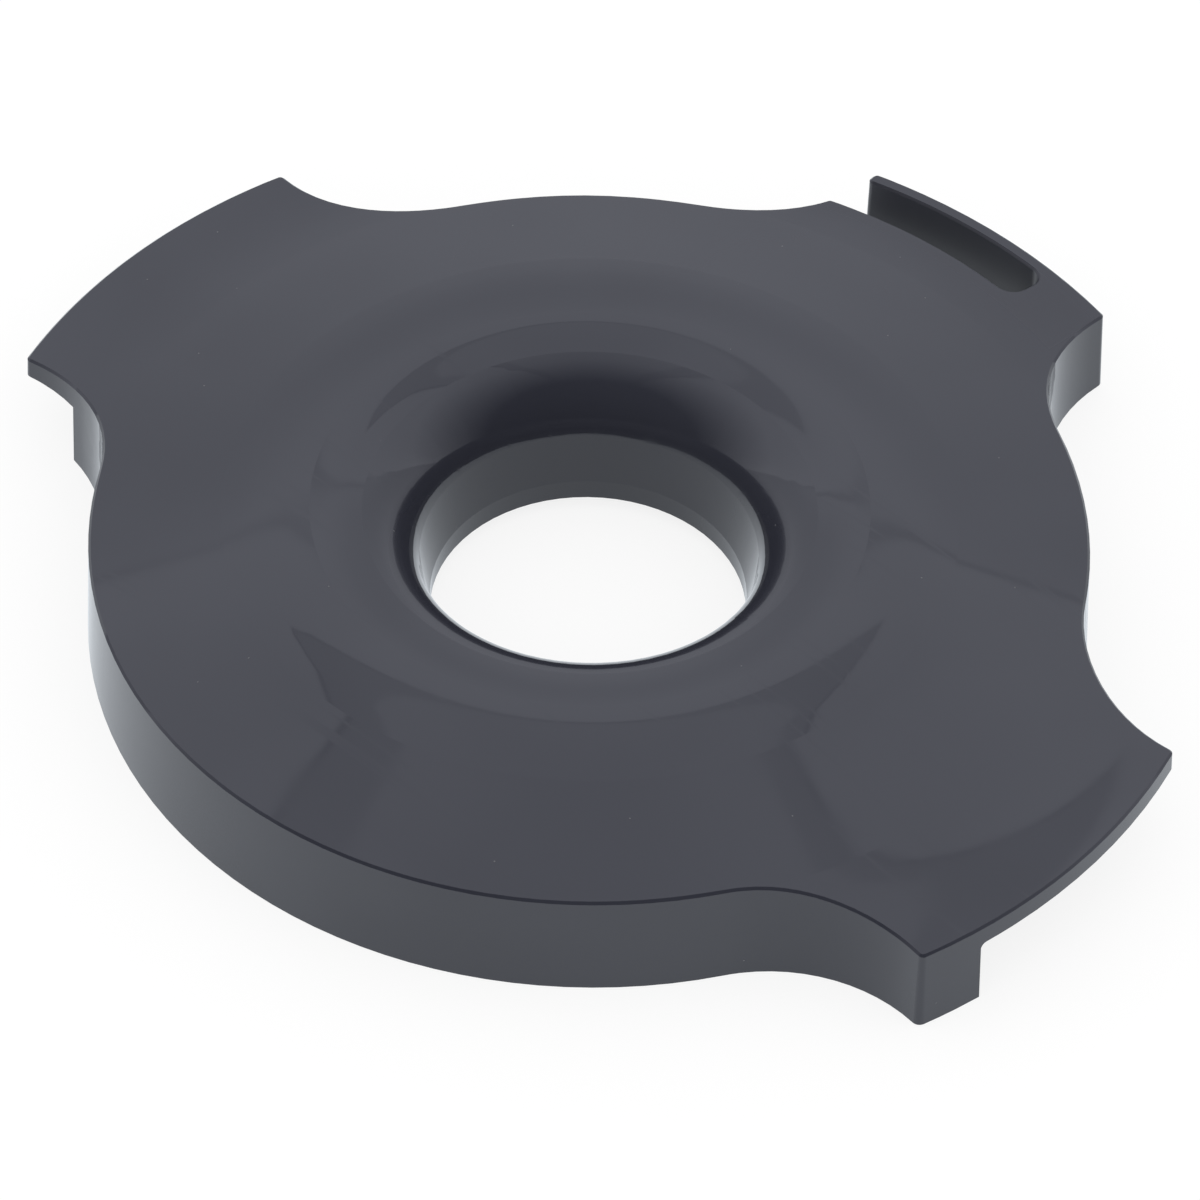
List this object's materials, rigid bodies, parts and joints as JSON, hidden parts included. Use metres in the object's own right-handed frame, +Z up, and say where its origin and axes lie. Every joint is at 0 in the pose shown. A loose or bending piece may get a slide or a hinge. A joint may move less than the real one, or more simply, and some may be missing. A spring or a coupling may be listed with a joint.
{
  "type": "stand mixer high-speed outlet",
  "caption": "Low domed plastic cover ring with a flared central hole, a hollow skirt, bayonet lugs with channels under them and a latch slot behind a thin rib.",
  "frame": {"origin": "on the bore axis, in the plane that the skirt's bottom edge rests on", "axes": "+Z up along the bore axis, out of the flared mouth; +X through the middle of a plain lug and +Y through the middle of the slotted lug, with the side that has no lug on -Y"},
  "size_m": [0.1116, 0.1001, 0.0141],
  "materials": {
    "moulded_plastic": "glossy moulded, dark blue grey"
  },
  "bodies": {
    "root": {"outlet_ring": "moulded_plastic"}
  },
  "joints": []
}
